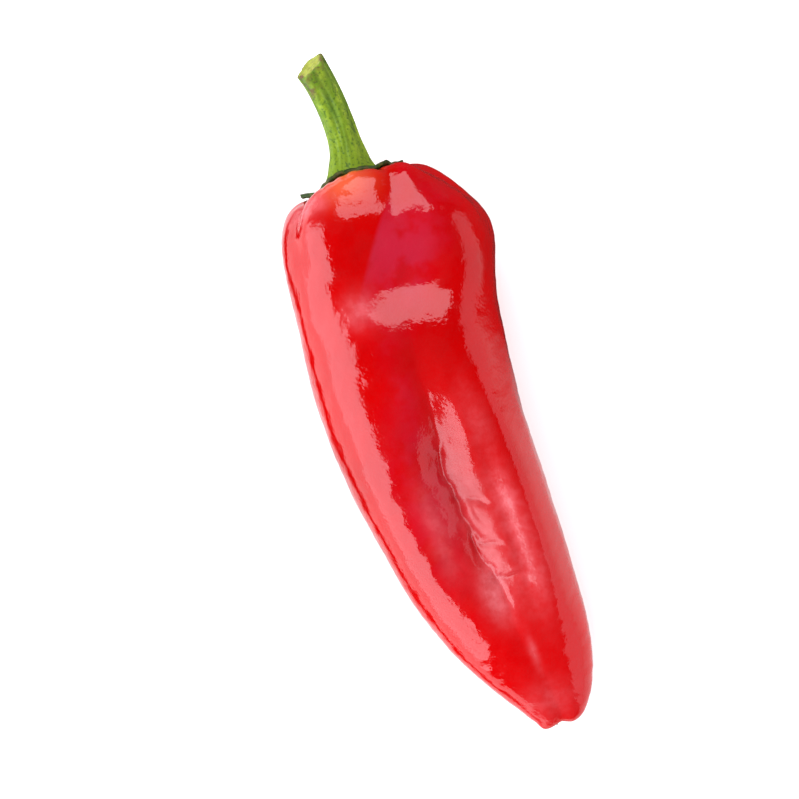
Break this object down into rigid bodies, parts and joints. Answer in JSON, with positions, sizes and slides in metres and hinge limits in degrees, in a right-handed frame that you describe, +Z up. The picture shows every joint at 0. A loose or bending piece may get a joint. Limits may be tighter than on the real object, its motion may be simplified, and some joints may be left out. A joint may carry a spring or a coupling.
{
  "type": "long sweet pepper",
  "caption": "Long sweet pepper lying on its side: a glossy red fruit that tapers from lobed shoulders to a notched tip, with a furrow along its face and a curved green stalk on its calyx.",
  "frame": {"origin": "middle of the footprint, on the surface that the pepper lies on", "axes": "+X along the fruit from the stalk to the tip, +Y across it, +Z up"},
  "size_m": [0.2032, 0.0652, 0.0462],
  "materials": {
    "skin": "waxy gloss",
    "stalk": "matt, ribbed"
  },
  "bodies": {
    "root": {"fruit": "skin", "stalk_with_calyx": "stalk"}
  },
  "joints": []
}
